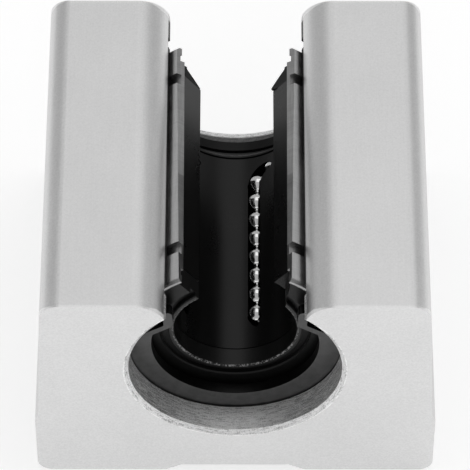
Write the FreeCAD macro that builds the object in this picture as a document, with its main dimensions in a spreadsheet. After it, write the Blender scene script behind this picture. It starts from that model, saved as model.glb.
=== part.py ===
import FreeCAD, Part
import Sketcher
import math
import os

from FreeCAD import Placement, Rotation, Vector

# Linear bearing block, 12 mm shaft size, open type, standing on its mounting face.
# Frame: +Z up, +Y along the shaft, +X to the right. The origin is on the mounting
# face, midway along the block and straight below the shaft axis. Millimetres.

doc = FreeCAD.newDocument("linear_bearing_block")
dims = doc.addObject("Spreadsheet::Sheet", "dims")

# Driving sizes: lengths in mm, angles in degrees.
DRIVING = {
    # aluminium block
    "block_width": 40.0,
    "block_length": 39.0,
    "block_height": 27.6,
    "arm_rise": 10.6,
    "foot_height": 8.6,
    "shoulder_step": 0.35,
    "shoulder_rise": 0.7,
    "side_draft": 0.8,
    "foot_fillet": 1.5,
    "shoulder_fillet": 0.5,
    "crown_fillet": 2.0,
    "mouth_width": 13.42,
    "mouth_round": 3.4,
    "relief_width": 10.8,
    "relief_slope": 1.6,
    "relief_depth": 0.85,
    "bore_chamfer": 0.4,
    # mounting holes
    "hole_spacing_x": 28.0,
    "hole_spacing_y": 26.0,
    "tap_drill": 4.2,
    "tap_depth": 12.0,
    # bearing
    "shaft_dia": 12.0,
    "bearing_od": 21.0,
    "bearing_length": 30.0,
    "seat_clearance": 0.01,
    "sleeve_wall": 0.8,
    "sleeve_chamfer": 0.3,
    "slot_gap_front": 31.5,
    "slot_gap_rear": 35.2,
    "slot_flank_rear": 65.0,
    "slot_top": 12.0,
    "ring_seat_span": 23.0,
    "ring_seat_width": 1.3,
    "ring_seat_depth": 0.5,
    "lip_width": 0.9,
    "lip_height": 0.25,
    "snap_groove_width": 0.8,
    "snap_groove_depth": 0.4,
    # balls
    "ball_dia": 2.381,
    "ball_count": 7.0,
    "ball_gap": 0.022,
    "running_gap": 0.04,
    "track_gap": 0.01,
    "channel_gap": 0.06,
    "hollow_gap": 0.03,
    "circuit_step": 72.0,
    "lane_step": 35.5,
    "lane_overrun": 0.1,
    "turn_balls": 3.0,
    "rear_lift": 3.0,
    "front_lift": 12.0,
    "first_lane": 288.0,
    "rest_phase": 0.3,
    "slot_middle": 90.0,
    "land_angle": 18.0,
    "land_inset": 0.2,
    # ball retainer
    "cage_clearance": 0.2,
    "cage_length": 24.4,
    "cage_gap": 36.7,
    "cage_turn": 1.4,
    "cage_fit": 0.05,
    # end seals
    "seal_fit": 0.03,
    "seal_recess": 0.6,
    "seal_gap": 40.5,
    "seal_turn": 7.0,
    "seal_bore": 13.9,
    "seal_bead": 0.25,
    "seal_round": 0.25,
    "seal_rim": 2.27,
    "seal_web_width": 2.42,
    "seal_web_sink": 0.7,
    "seal_lip_bore": 12.3,
    "seal_lip_width": 0.4,
    "seal_lip_sink": 0.5,
    # retaining rings
    "ring_thickness": 1.1,
    "ring_play": 0.05,
    "ring_groove_depth": 0.5,
    "ring_inner": 8.3,
    "ring_middle": 270.0,
    "ring_gap": 77.5,
    "hook_neck_width": 0.6,
    "hook_pad_width": 0.96,
    "hook_root_x": 8.8,
    "hook_root_z": 1.5,
    "hook_knee_x": 6.55,
    "hook_knee_z": 3.0,
    "hook_pad_x": 6.55,
    "hook_pad_z": 3.3,
    "hook_tip_x": 6.65,
    "hook_tip_z": 4.65,
    "hook_fillet": 0.3,
    # locking screw
    "screw_drill": 3.3,
    "screw_fit": 0.01,
    "screw_sink": 0.4,
    "point_dia": 2.5,
    "point_length": 2.0,
    "dimple_depth": 0.5,
    "key_flats": 2.0,
    "key_depth": 2.5,
}

# Sizes that follow from them, worked out by the sheet itself.
DERIVED = {
    "half_width": "block_width / 2",
    "half_length": "block_length / 2",
    "bore_height": "block_height - arm_rise",
    "shoulder_x": "half_width - shoulder_step",
    "shoulder_z": "foot_height + shoulder_rise",
    "crown_x": "shoulder_x - side_draft",
    "mouth_x": "mouth_width / 2",
    "relief_x": "relief_width / 2",
    "relief_edge": "relief_x + relief_slope",
    "sleeve_r": "bearing_od / 2",
    "bore_r": "sleeve_r + seat_clearance",
    "bore_edge_r": "bore_r + bore_chamfer",
    "chamfer_y": "half_length - bore_chamfer",
    "hole_x": "hole_spacing_x / 2",
    "hole_y": "hole_spacing_y / 2",
    "bearing_end": "bearing_length / 2",
    "tap_r": "tap_drill / 2",
    # ball circuit
    "ball_r": "ball_dia / 2",
    "channel_r": "ball_r + channel_gap",
    "hollow_r": "channel_r + hollow_gap",
    "load_r": "shaft_dia / 2 + ball_r + running_gap",
    "track_r": "load_r + ball_r + track_gap",
    "turn_r": "ball_dia + ball_gap",
    "return_r": "load_r * cos(lane_step) + sqrt((2 * turn_r) ^ 2 - (load_r * sin(lane_step)) ^ 2)",
    "load_x": "load_r * cos(first_lane)",
    "load_z": "load_r * sin(first_lane)",
    "back_x": "return_r * cos(first_lane + lane_step)",
    "back_z": "return_r * sin(first_lane + lane_step)",
    "turn_out": "sqrt((load_x + back_x) ^ 2 + (load_z + back_z) ^ 2) / 2",
    "turn_angle": "atan2(load_z + back_z; load_x + back_x) / 1 deg",
    "lane_tilt": "-atan2(back_z - load_z; back_x - load_x) / 1 deg",
    "ball_pitch": "2 * turn_r * sin(90 / turn_balls)",
    "straight": "ball_count * ball_pitch",
    "straight_half": "straight / 2",
    "lane_length": "straight + 2 * lane_overrun",
    "lane_start": "-lane_length / 2",
    # sleeve section
    "sleeve_inner": "sleeve_r - sleeve_wall",
    "seat_out": "ring_seat_span / 2",
    "seat_in": "seat_out - ring_seat_width",
    "seat_r": "sleeve_r - ring_seat_depth",
    "edge_y": "bearing_end - sleeve_chamfer",
    "edge_r": "sleeve_r - sleeve_chamfer",
    "lip_r": "sleeve_inner + lip_height",
    "lip_y": "bearing_end - lip_width",
    "snap_r": "sleeve_inner + snap_groove_depth",
    "snap_y": "lip_y - snap_groove_width",
    "slot_front_x": "slot_top * tan(slot_gap_front)",
    "slot_rear_edge_x": "sleeve_r * sin(slot_gap_rear)",
    "slot_rear_edge_z": "sleeve_r * cos(slot_gap_rear)",
    "slot_rear_z": "slot_rear_edge_z - slot_rear_edge_x / tan(slot_flank_rear)",
    "slot_rear_x": "(slot_top - slot_rear_z) * tan(slot_flank_rear)",
    "land_half": "straight_half - land_inset",
    "land_root": "sleeve_inner + sleeve_wall / 2",
    "land_half_angle": "land_angle / 2",
    "recess_half_angle": "land_half_angle + cage_fit / track_r * 180 / pi",
    # ball retainer
    "cage_inner": "shaft_dia / 2 + cage_clearance",
    "cage_outer": "sleeve_inner - cage_fit",
    "cage_end": "cage_length / 2",
    "cage_slot_middle": "slot_middle - cage_turn",
    "pocket_half": "land_half + cage_fit",
    "pocket_floor": "track_r - cage_fit",
    # end seals
    "seal_outer": "sleeve_inner - seal_fit",
    "seal_start": "cage_end + seal_fit",
    "seal_end": "bearing_end - seal_recess",
    "seal_bore_r": "seal_bore / 2",
    "rim_inner": "seal_outer - seal_rim",
    "web_r": "seal_outer - seal_web_width",
    "web_y": "seal_end - seal_web_sink",
    "wiper_r": "seal_lip_bore / 2",
    "wiper_out": "seal_end - seal_lip_sink",
    "wiper_in": "wiper_out - seal_lip_width",
    "front_seal_middle": "slot_middle - seal_turn",
    "bead_r": "seal_outer + seal_bead",
    "bead_in": "snap_y + seal_fit",
    "bead_out": "lip_y - seal_fit",
    # retaining rings
    "groove_in": "bearing_end + ring_play",
    "groove_out": "groove_in + ring_thickness + 2 * ring_play",
    "groove_r": "bore_r + ring_groove_depth",
    "ring_outer": "groove_r - ring_play",
    "ring_mid": "(groove_in + groove_out) / 2",
    "ring_half_span": "180 - ring_gap",
    "neck_r": "hook_neck_width / 2",
    "pad_r": "hook_pad_width / 2",
    # locking screw
    "screw_r": "screw_drill / 2 - screw_fit",
    "point_r": "point_dia / 2",
    "point_x": "sleeve_r - dimple_depth + screw_fit",
    "point_root": "point_x + point_length",
    "dimple_r": "point_r + cage_fit",
    "screw_draft": "side_draft * (bore_height - shoulder_z) / (block_height - shoulder_z)",
    "screw_end": "shoulder_x - screw_draft - screw_sink",
    "dimple_x": "sleeve_r - dimple_depth",
    "key_half": "key_flats / 2",
    "key_corner": "key_half / cos(30)",
    "key_shoulder": "key_corner / 2",
}

# How many circuits on from the first each one lies. The fifth place is the slot.
CIRCUITS = {"lower": 0, "left": -1, "upper_left": -2, "right": 1}


def fill_sheet():
    """Write the driving sizes, then the formulas that follow from them."""
    row = 1
    for alias, number in DRIVING.items():
        dims.set(f"A{row}", alias)
        dims.set(f"B{row}", str(number))
        dims.setAlias(f"B{row}", alias)
        row += 1
    for alias, formula in DERIVED.items():
        dims.set(f"A{row}", alias)
        dims.set(f"B{row}", "=" + formula)
        dims.setAlias(f"B{row}", alias)
        row += 1
    doc.recompute()


def size(alias):
    """The value of a named size; a leading minus sign mirrors it."""
    if alias == "0":
        return 0.0
    if alias.startswith("-"):
        return -float(dims.get(alias[1:]))
    return float(dims.get(alias))


def cell(alias):
    """The expression that binds a property to a named size."""
    if alias.startswith("-"):
        return "-dims." + alias[1:]
    return "dims." + alias


def new_body(name):
    body = doc.addObject("PartDesign::Body", name)
    body.Label = name
    return body


def plane_of(body, role):
    """One of the body's own origin planes or axes, found by its role."""
    for feature in body.Origin.OriginFeatures:
        if feature.Role == role:
            return feature
    raise ValueError("no origin feature " + role)


def new_sketch(body, name, role):
    sketch = body.newObject("Sketcher::SketchObject", name)
    sketch.AttachmentSupport = [(plane_of(body, role), "")]
    sketch.MapMode = "FlatFace"
    return sketch


def bind(sketch, kind, *where, alias):
    """Add one dimension to a sketch and tie it to its cell."""
    index = sketch.addConstraint(Sketcher.Constraint(kind, *where, size(alias)))
    sketch.setExpression(f"Constraints[{index}]", cell(alias))


def pin(sketch, line, point, alias_x, alias_y):
    """Hold one end of a line at a named place from the sketch's origin."""
    for kind, axis, alias in (("DistanceX", -2, alias_x), ("DistanceY", -1, alias_y)):
        if alias == "0":
            sketch.addConstraint(Sketcher.Constraint("PointOnObject", line, point, axis))
        else:
            bind(sketch, kind, -1, 1, line, point, alias=alias)


def polygon(sketch, corners):
    """A closed outline of straight edges, each corner at two named sizes."""
    places = [Vector(size(x), size(y), 0) for x, y in corners]
    first = sketch.GeometryCount
    last = first + len(corners) - 1
    for start, end in zip(places, places[1:] + places[:1]):
        sketch.addGeometry(Part.LineSegment(start, end), False)
    for line in range(first, last):
        sketch.addConstraint(Sketcher.Constraint("Coincident", line, 2, line + 1, 1))
    sketch.addConstraint(Sketcher.Constraint("Coincident", last, 2, first, 1))
    for line, (x, y) in enumerate(corners, first):
        pin(sketch, line, 1, x, y)


def circle(sketch, alias_x, alias_y, alias_r):
    """A circle with its centre and radius at named sizes."""
    centre = Vector(size(alias_x), size(alias_y), 0)
    index = sketch.addGeometry(Part.Circle(centre, Vector(0, 0, 1), size(alias_r)), False)
    bind(sketch, "Radius", index, alias=alias_r)
    pin(sketch, index, 3, alias_x, alias_y)


def mirrored(corners):
    """A half outline and its mirror image across the sketch's vertical axis."""
    def flip(alias):
        return alias[1:] if alias.startswith("-") else "-" + alias
    return corners + [(flip(x), y) for x, y in reversed(corners)]


def turned(body, name, corner_lists):
    """A solid turned about the body's own Y axis from one or more outlines."""
    sketch = new_sketch(body, name + "_section", "YZ_Plane")
    for corners in corner_lists:
        polygon(sketch, corners)
    turn = body.newObject("PartDesign::Revolution", name)
    turn.Profile = sketch
    turn.ReferenceAxis = (sketch, ["H_Axis"])
    turn.Angle = 360
    doc.recompute()
    return turn


def edges_along_y(shape, x, z, tolerance=0.05):
    """Names of the straight edges that run the length of the block at (x, z)."""
    names = []
    for number, edge in enumerate(shape.Edges, 1):
        box = edge.BoundBox
        flat = box.XLength < tolerance and box.ZLength < tolerance
        near = math.hypot(box.Center.x - x, box.Center.z - z) < tolerance
        if flat and near and box.YLength > tolerance:
            names.append(f"Edge{number}")
    return names


def corners_along_y(shape, least_angle=20):
    """Names of the straight edges along Y where two faces meet at a corner."""
    names = []
    for number, edge in enumerate(shape.Edges, 1):
        box = edge.BoundBox
        if box.XLength > 0.01 or box.ZLength > 0.01:
            continue
        middle = edge.CenterOfMass
        normals = [face.normalAt(*face.Surface.parameter(middle))
                   for face in shape.ancestorsOfType(edge, Part.Face)]
        if math.degrees(normals[0].getAngle(normals[1])) > least_angle:
            names.append(f"Edge{number}")
    return names


def circle_at(shape, y, radius, tolerance=0.001):
    """Name of the round edge about the body's Y axis at one place and radius."""
    for number, edge in enumerate(shape.Edges, 1):
        curve = edge.Curve
        if isinstance(curve, Part.Circle) and abs(curve.Radius - radius) < tolerance:
            if abs(curve.Center.y - y) < tolerance:
                return f"Edge{number}"
    raise ValueError("no round edge there")


def round_edges(body, name, places, alias):
    """Fillet the edges that run along Y at the named (x, z) places."""
    base = body.Tip
    names = []
    for x, z in places:
        names += edges_along_y(base.Shape, size(x), size(z))
    if len(names) != len(places):
        raise ValueError(name + ": an edge is missing")
    fillet = body.newObject("PartDesign::Fillet", name)
    fillet.Base = (base, names)
    fillet.Radius = size(alias)
    fillet.setExpression("Radius", cell(alias))
    doc.recompute()


def check_removed(before, feature):
    """A cut has to take material away."""
    if feature.Shape.Volume >= before - 1e-6:
        raise ValueError(feature.Name + " cuts nothing")


def housing():
    """The extruded block: feet, shoulders, tapered sides, two arms round the bore."""
    body = new_body("housing")
    sketch = new_sketch(body, "block_section", "XZ_Plane")
    corners = mirrored([
        ("crown_x", "block_height"),
        ("shoulder_x", "shoulder_z"),
        ("half_width", "foot_height"),
        ("half_width", "0"),
        ("relief_edge", "0"),
        ("relief_x", "relief_depth"),
    ])
    # the top of each arm, then a round down to its tip on the bore, which closes the outline
    bore_r = size("bore_r")
    mouth_r = size("mouth_round")
    centre_z = size("bore_height")
    tip_x = size("mouth_x")
    tip_rise = math.sqrt(bore_r ** 2 - tip_x ** 2)
    top_z = size("block_height")
    round_z = top_z - mouth_r
    lean = math.asin((centre_z + tip_rise - round_z) / mouth_r)
    round_x = tip_x + mouth_r * math.cos(lean)
    places = [Vector(size(x), size(z), 0) for x, z in corners]
    places = [Vector(round_x, top_z, 0)] + places + [Vector(-round_x, top_z, 0)]
    for start, end in zip(places, places[1:]):
        sketch.addGeometry(Part.LineSegment(start, end), False)
    last = len(places) - 2
    for line in range(last):
        sketch.addConstraint(Sketcher.Constraint("Coincident", line, 2, line + 1, 1))
    for line, (x, z) in enumerate(corners, 1):
        pin(sketch, line, 1, x, z)
    axis = Vector(0, 0, 1)
    quarter = math.pi / 2
    left_circle = Part.Circle(Vector(-round_x, round_z, 0), axis, mouth_r)
    right_circle = Part.Circle(Vector(round_x, round_z, 0), axis, mouth_r)
    bore_circle = Part.Circle(Vector(0, centre_z, 0), axis, bore_r)
    tip_angle = math.atan2(tip_rise, tip_x)
    left = sketch.addGeometry(Part.ArcOfCircle(left_circle, lean, quarter), False)
    bore = sketch.addGeometry(
        Part.ArcOfCircle(bore_circle, math.pi - tip_angle, 2 * math.pi + tip_angle), False)
    right = sketch.addGeometry(Part.ArcOfCircle(right_circle, quarter, math.pi - lean), False)
    for kind, first, end, second, start in (
        ("Tangent", last, 2, left, 2),
        ("Coincident", left, 1, bore, 1),
        ("Coincident", bore, 2, right, 2),
        ("Tangent", right, 1, 0, 1),
    ):
        sketch.addConstraint(Sketcher.Constraint(kind, first, end, second, start))
    for line in (0, last):
        sketch.addConstraint(Sketcher.Constraint("Horizontal", line))
    for arc in (left, right):
        bind(sketch, "Radius", arc, alias="mouth_round")
    bind(sketch, "DistanceX", -1, 1, bore, 2, alias="mouth_x")
    bind(sketch, "DistanceX", -1, 1, bore, 1, alias="-mouth_x")
    sketch.addConstraint(Sketcher.Constraint("PointOnObject", bore, 3, -2))
    bind(sketch, "DistanceY", -1, 1, bore, 3, alias="bore_height")
    bind(sketch, "Radius", bore, alias="bore_r")

    block = body.newObject("PartDesign::Pad", "block")
    block.Profile = sketch
    block.Midplane = True
    block.Length = size("block_length")
    block.setExpression("Length", cell("block_length"))
    doc.recompute()

    round_edges(body, "crown_rounds", [("crown_x", "block_height"), ("-crown_x", "block_height")],
                "crown_fillet")
    round_edges(body, "foot_rounds", [("half_width", "0"), ("-half_width", "0")], "foot_fillet")
    round_edges(body, "shoulder_rounds",
                [("half_width", "foot_height"), ("-half_width", "foot_height")], "shoulder_fillet")

    # ring grooves and end chamfers, turned about the bore's axis
    volume = body.Tip.Shape.Volume
    rings = new_sketch(body, "bore_grooves", "YZ_Plane")
    rings.AttachmentOffset = Placement(Vector(0, size("bore_height"), 0), Rotation())
    rings.setExpression("AttachmentOffset.Base.y", cell("bore_height"))
    for sign in ("", "-"):
        polygon(rings, [
            (sign + "groove_in", "seat_r"),
            (sign + "groove_in", "groove_r"),
            (sign + "groove_out", "groove_r"),
            (sign + "groove_out", "seat_r"),
        ])
        polygon(rings, [
            (sign + "chamfer_y", "bore_r"),
            (sign + "half_length", "bore_edge_r"),
            (sign + "half_length", "bore_r"),
        ])
    groove = body.newObject("PartDesign::Groove", "bore_grooving")
    groove.Profile = rings
    groove.ReferenceAxis = (rings, ["H_Axis"])
    groove.Angle = 360
    doc.recompute()
    check_removed(volume, groove)

    # four tapped holes in the mounting face
    volume = body.Tip.Shape.Volume
    pattern = new_sketch(body, "hole_centres", "XY_Plane")
    for x, y in (("hole_x", "hole_y"), ("-hole_x", "hole_y"),
                 ("-hole_x", "-hole_y"), ("hole_x", "-hole_y")):
        circle(pattern, x, y, "tap_r")
    doc.recompute()
    holes = body.newObject("PartDesign::Hole", "mounting_holes")
    holes.Profile = pattern
    doc.recompute()
    holes.Reversed = True
    holes.DepthType = "Dimension"
    holes.DrillPoint = "Angled"
    holes.setExpression("Diameter", cell("tap_drill"))
    holes.setExpression("Depth", cell("tap_depth"))
    doc.recompute()
    check_removed(volume, holes)

    # the locking screw's tapped hole, through the right-hand wall into the bore
    volume = body.Tip.Shape.Volume
    side = new_sketch(body, "screw_centre", "YZ_Plane")
    circle(side, "0", "bore_height", "screw_r")
    screw_hole = body.newObject("PartDesign::Pocket", "screw_hole")
    screw_hole.Profile = side
    screw_hole.Reversed = True
    screw_hole.Length = size("block_width")
    screw_hole.setExpression("Length", cell("block_width"))
    doc.recompute()
    check_removed(volume, screw_hole)
    return body


def seat_on_axis(body):
    """Place a body, modelled about its own origin, on the shaft axis."""
    body.Placement = Placement(Vector(0, 0, size("bore_height")), Rotation())
    body.setExpression("Placement.Base.z", cell("bore_height"))


def sector(sketch, outer, middle, half_span, inner=None):
    """A sector of a ring about the sketch's origin.

    outer and inner name its radii, middle the direction of its middle and half_span
    the angle to each side. Without an inner radius the sector runs to the origin.
    """
    origin = Vector(0, 0, 0)
    axis = Vector(0, 0, 1)
    far = size(outer)
    near = size(inner) if inner else 0.0
    angles = [math.radians(size(middle) - size(half_span)),
              math.radians(size(middle) + size(half_span))]
    rim = sketch.addGeometry(Part.ArcOfCircle(Part.Circle(origin, axis, far), *angles), False)
    sketch.addConstraint(Sketcher.Constraint("Coincident", rim, 3, -1, 1))
    bind(sketch, "Radius", rim, alias=outer)
    sides = []
    for end, (angle, sign) in enumerate(zip(angles, "-+"), 1):
        ray = Vector(math.cos(angle), math.sin(angle), 0)
        side = sketch.addGeometry(Part.LineSegment(ray * near, ray * far), False)
        sketch.addConstraint(Sketcher.Constraint("Coincident", side, 2, rim, end))
        turn = math.remainder(angle, 2 * math.pi)
        index = sketch.addConstraint(Sketcher.Constraint("Angle", side, turn))
        turns = round((turn - angle) / (2 * math.pi)) * 360
        formula = f"({cell(middle)} {sign} {cell(half_span)} + {turns}) * 1 deg"
        sketch.setExpression(f"Constraints[{index}]", formula)
        sides.append(side)
    if not inner:
        for side in sides:
            sketch.addConstraint(Sketcher.Constraint("Coincident", side, 1, -1, 1))
        return
    hub = sketch.addGeometry(Part.ArcOfCircle(Part.Circle(origin, axis, near), *angles), False)
    sketch.addConstraint(Sketcher.Constraint("Coincident", hub, 3, -1, 1))
    bind(sketch, "Radius", hub, alias=inner)
    for end, side in enumerate(sides, 1):
        sketch.addConstraint(Sketcher.Constraint("Coincident", side, 1, hub, end))


def five_times(body, features, name):
    """Repeat features round the shaft at the five places that the circuits divide."""
    pattern = body.newObject("PartDesign::PolarPattern", name)
    pattern.Originals = features
    pattern.Axis = (plane_of(body, "Y_Axis"), [""])
    pattern.Angle = 360
    pattern.Occurrences = 5
    body.Tip = pattern
    doc.recompute()
    return pattern


def pocket_both_ways(body, name, sketch, half_alias):
    """Cut a sketch's area to the same named depth on both sides of its plane."""
    volume = body.Tip.Shape.Volume
    pocket = body.newObject("PartDesign::Pocket", name)
    pocket.Profile = sketch
    pocket.Midplane = True
    pocket.Length = 2 * size(half_alias)
    pocket.setExpression("Length", "2 * " + cell(half_alias))
    doc.recompute()
    check_removed(volume, pocket)
    return pocket


def bearing_sleeve():
    """Hardened steel sleeve: ring seats outside, ball tracks inside, slot along the top."""
    body = new_body("bearing_sleeve")
    half = [
        ("snap_y", "sleeve_inner"),
        ("snap_y", "snap_r"),
        ("lip_y", "snap_r"),
        ("lip_y", "lip_r"),
        ("bearing_end", "lip_r"),
        ("bearing_end", "edge_r"),
        ("edge_y", "sleeve_r"),
        ("seat_out", "sleeve_r"),
        ("seat_out", "seat_r"),
        ("seat_in", "seat_r"),
        ("seat_in", "sleeve_r"),
    ]
    turned(body, "sleeve_tube", [mirrored(half)])

    # a raised land under each row of loaded balls
    land_sketch = new_sketch(body, "land_section", "XZ_Plane")
    sector(land_sketch, "land_root", "first_lane", "land_half_angle", "track_r")
    land = body.newObject("PartDesign::Pad", "ball_track")
    land.Profile = land_sketch
    land.Midplane = True
    land.Length = 2 * size("land_half")
    land.setExpression("Length", "2 * " + cell("land_half"))
    doc.recompute()
    five_times(body, [land], "ball_tracks")

    # the slot that clears the rail, cut a little wider towards the back
    volume = body.Tip.Shape.Volume
    ends = []
    for end, place, foot in (("slot_front", "bearing_end", "0"),
                             ("slot_rear", "-bearing_end", "slot_rear_z")):
        sketch = new_sketch(body, end, "XZ_Plane")
        sketch.AttachmentOffset = Placement(Vector(0, 0, size(place)), Rotation())
        sketch.setExpression("AttachmentOffset.Base.z", cell(place))
        polygon(sketch, [("0", foot), (end + "_x", "slot_top"), (f"-{end}_x", "slot_top")])
        ends.append(sketch)
    slot = body.newObject("PartDesign::SubtractiveLoft", "rail_slot")
    slot.Profile = ends[0]
    slot.Sections = [ends[1]]
    slot.Ruled = True
    doc.recompute()
    check_removed(volume, slot)

    # the dimple that the locking screw's point enters
    volume = body.Tip.Shape.Volume
    dimple_sketch = new_sketch(body, "dimple_centre", "YZ_Plane")
    dimple_sketch.AttachmentOffset = Placement(Vector(0, 0, size("dimple_x")), Rotation())
    dimple_sketch.setExpression("AttachmentOffset.Base.z", cell("dimple_x"))
    circle(dimple_sketch, "0", "0", "dimple_r")
    dimple = body.newObject("PartDesign::Pocket", "screw_dimple")
    dimple.Profile = dimple_sketch
    dimple.Reversed = True
    dimple.Length = 2 * size("dimple_depth")
    dimple.setExpression("Length", "2 * " + cell("dimple_depth"))
    doc.recompute()
    check_removed(volume, dimple)
    seat_on_axis(body)
    return body


def cut_primitive(body, kind, name, sizes, place):
    """Cut a plain solid out of a body; its sizes and its place are formulas."""
    volume = body.Tip.Shape.Volume
    cutter = body.newObject("PartDesign::Subtractive" + kind, name)
    for field, formula in sizes.items():
        cutter.setExpression(field, formula)
    cutter.setExpression("Placement", place)
    doc.recompute()
    check_removed(volume, cutter)


def ball_channel(body, circuit, step):
    """Cut one endless ball channel: two straight lanes, and a half turn at each end.

    Each half turn leans outwards from the shaft by its own lift angle, so a hollow a
    little wider than the channel eases the bend where it meets a lane.
    """
    turned_by = f"{step} * dims.circuit_step"
    ends = (("rear", "", "0"), ("front", "-", "180"))
    for lane, radius, angle in (("load", "load_r", f"dims.first_lane + {turned_by}"),
                                ("return", "return_r",
                                 f"dims.first_lane + dims.lane_step + {turned_by}")):
        x = f"dims.{radius} * cos({angle})"
        z = f"dims.{radius} * sin({angle})"
        along = f"rotation(vector(0; 1; 0); -({angle})) * rotation(vector(1; 0; 0); -90)"
        cut_primitive(body, "Cylinder", f"{circuit}_{lane}_channel",
                      {"Radius": cell("channel_r"), "Height": cell("lane_length")},
                      f"placement(vector({x}; dims.lane_start; {z}); {along})")
        for end, sign, _ in ends:
            cut_primitive(body, "Sphere", f"{circuit}_{lane}_{end}_hollow",
                          {"Radius": cell("hollow_r")},
                          f"placement(vector({x}; {sign}dims.straight_half; {z}); {along})")
    x = f"dims.turn_out * cos(dims.turn_angle + {turned_by})"
    z = f"dims.turn_out * sin(dims.turn_angle + {turned_by})"
    for end, sign, half_turn in ends:
        turn = (f"rotation(vector(0; 1; 0); dims.lane_tilt - {turned_by})"
                f" * rotation(vector(0; 0; 1); {half_turn})"
                f" * rotation(vector(1; 0; 0); -dims.{end}_lift)")
        cut_primitive(body, "Torus", f"{circuit}_{end}_channel",
                      {"Radius1": cell("turn_r"), "Radius2": cell("channel_r"), "Angle3": "180"},
                      f"placement(vector({x}; {sign}dims.straight_half; {z}); {turn})")


def ball_retainer():
    """Black moulded cage: a recess over each ball track and a closed channel per circuit."""
    body = new_body("ball_retainer")
    turned(body, "cage_tube", [[
        ("cage_end", "cage_inner"),
        ("cage_end", "cage_outer"),
        ("-cage_end", "cage_outer"),
        ("-cage_end", "cage_inner"),
    ]])
    recess_sketch = new_sketch(body, "track_recess_section", "XZ_Plane")
    sector(recess_sketch, "sleeve_r", "first_lane", "recess_half_angle", "pocket_floor")
    recess = pocket_both_ways(body, "track_recess", recess_sketch, "pocket_half")
    five_times(body, [recess], "track_recesses")
    for circuit, step in CIRCUITS.items():
        ball_channel(body, circuit, step)

    slot_sketch = new_sketch(body, "slot_section", "XZ_Plane")
    sector(slot_sketch, "half_length", "cage_slot_middle", "cage_gap")
    pocket_both_ways(body, "rail_slot", slot_sketch, "half_length")
    seat_on_axis(body)
    return body


def end_seal(name, side, slot_middle, slot_gap):
    """A snapped-in end ring with a raised outer rim and a thin wiping lip at its bore."""
    body = new_body(name)
    turned(body, name + "_ring", [[
        (side + "seal_start", "seal_bore_r"),
        (side + "seal_start", "seal_outer"),
        (side + "bead_in", "seal_outer"),
        (side + "bead_in", "bead_r"),
        (side + "bead_out", "bead_r"),
        (side + "bead_out", "seal_outer"),
        (side + "seal_end", "seal_outer"),
        (side + "seal_end", "rim_inner"),
        (side + "web_y", "web_r"),
        (side + "wiper_out", "wiper_r"),
        (side + "wiper_in", "wiper_r"),
        (side + "wiper_in", "seal_bore_r"),
    ]])
    ring = body.Tip
    rims = [circle_at(ring.Shape, size(side + "seal_end"), size(radius))
            for radius in ("seal_outer", "rim_inner")]
    rounds = body.newObject("PartDesign::Fillet", name + "_rounds")
    rounds.Base = (ring, rims)
    rounds.Radius = size("seal_round")
    rounds.setExpression("Radius", cell("seal_round"))
    doc.recompute()
    slot_sketch = new_sketch(body, name + "_slot_section", "XZ_Plane")
    sector(slot_sketch, "half_length", slot_middle, slot_gap)
    pocket_both_ways(body, name + "_slot", slot_sketch, "half_length")
    seat_on_axis(body)
    return body


def retaining_ring(name, side):
    """A flat spring ring in the bore's groove, open over the slot, its ends hooked inwards."""
    body = new_body(name)
    band_sketch = new_sketch(body, name + "_band_section", "XZ_Plane")
    sector(band_sketch, "ring_outer", "ring_middle", "ring_half_span", "ring_inner")
    band = body.newObject("PartDesign::Pad", name + "_band")
    band.Profile = band_sketch
    band.Midplane = True
    band.Length = size("ring_thickness")
    band.setExpression("Length", cell("ring_thickness"))
    doc.recompute()
    for part, start, end, radius in (("neck", "hook_root", "hook_knee", "neck_r"),
                                     ("pad", "hook_pad", "hook_tip", "pad_r")):
        for hand, sign in (("right", ""), ("left", "-")):
            sketch = new_sketch(body, f"{name}_{hand}_{part}", "XZ_Plane")
            obround(sketch, (sign + start + "_x", start + "_z"), (sign + end + "_x", end + "_z"),
                    radius)
            bar = body.newObject("PartDesign::Pad", sketch.Name + "_pad")
            bar.Profile = sketch
            bar.Midplane = True
            bar.Length = size("ring_thickness")
            bar.setExpression("Length", cell("ring_thickness"))
            doc.recompute()
    blend = body.newObject("PartDesign::Fillet", name + "_blends")
    blend.Base = (bar, corners_along_y(bar.Shape))
    blend.Radius = size("hook_fillet")
    blend.setExpression("Radius", cell("hook_fillet"))
    doc.recompute()
    seat_on_axis(body)
    body.Placement.Base.y = size(side + "ring_mid")
    body.setExpression("Placement.Base.y", cell(side + "ring_mid"))
    return body


def obround(sketch, start, end, alias_r):
    """A bar with round ends between two named places, in the sketch's plane."""
    a = Vector(size(start[0]), size(start[1]), 0)
    b = Vector(size(end[0]), size(end[1]), 0)
    radius = size(alias_r)
    along = math.atan2(b.y - a.y, b.x - a.x)
    side = Vector(-math.sin(along) * radius, math.cos(along) * radius, 0)
    axis = Vector(0, 0, 1)
    quarter = math.pi / 2
    cap_a = sketch.addGeometry(
        Part.ArcOfCircle(Part.Circle(a, axis, radius), along + quarter, along + 3 * quarter), False)
    edge_a = sketch.addGeometry(Part.LineSegment(a - side, b - side), False)
    cap_b = sketch.addGeometry(
        Part.ArcOfCircle(Part.Circle(b, axis, radius), along - quarter, along + quarter), False)
    edge_b = sketch.addGeometry(Part.LineSegment(b + side, a + side), False)
    for first, first_end, second, second_end in (
        (cap_a, 2, edge_a, 1), (edge_a, 2, cap_b, 1), (cap_b, 2, edge_b, 1), (edge_b, 2, cap_a, 1),
    ):
        sketch.addConstraint(Sketcher.Constraint("Tangent", first, first_end, second, second_end))
    bind(sketch, "Radius", cap_a, alias=alias_r)
    pin(sketch, cap_a, 3, *start)
    pin(sketch, cap_b, 3, *end)


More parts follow.
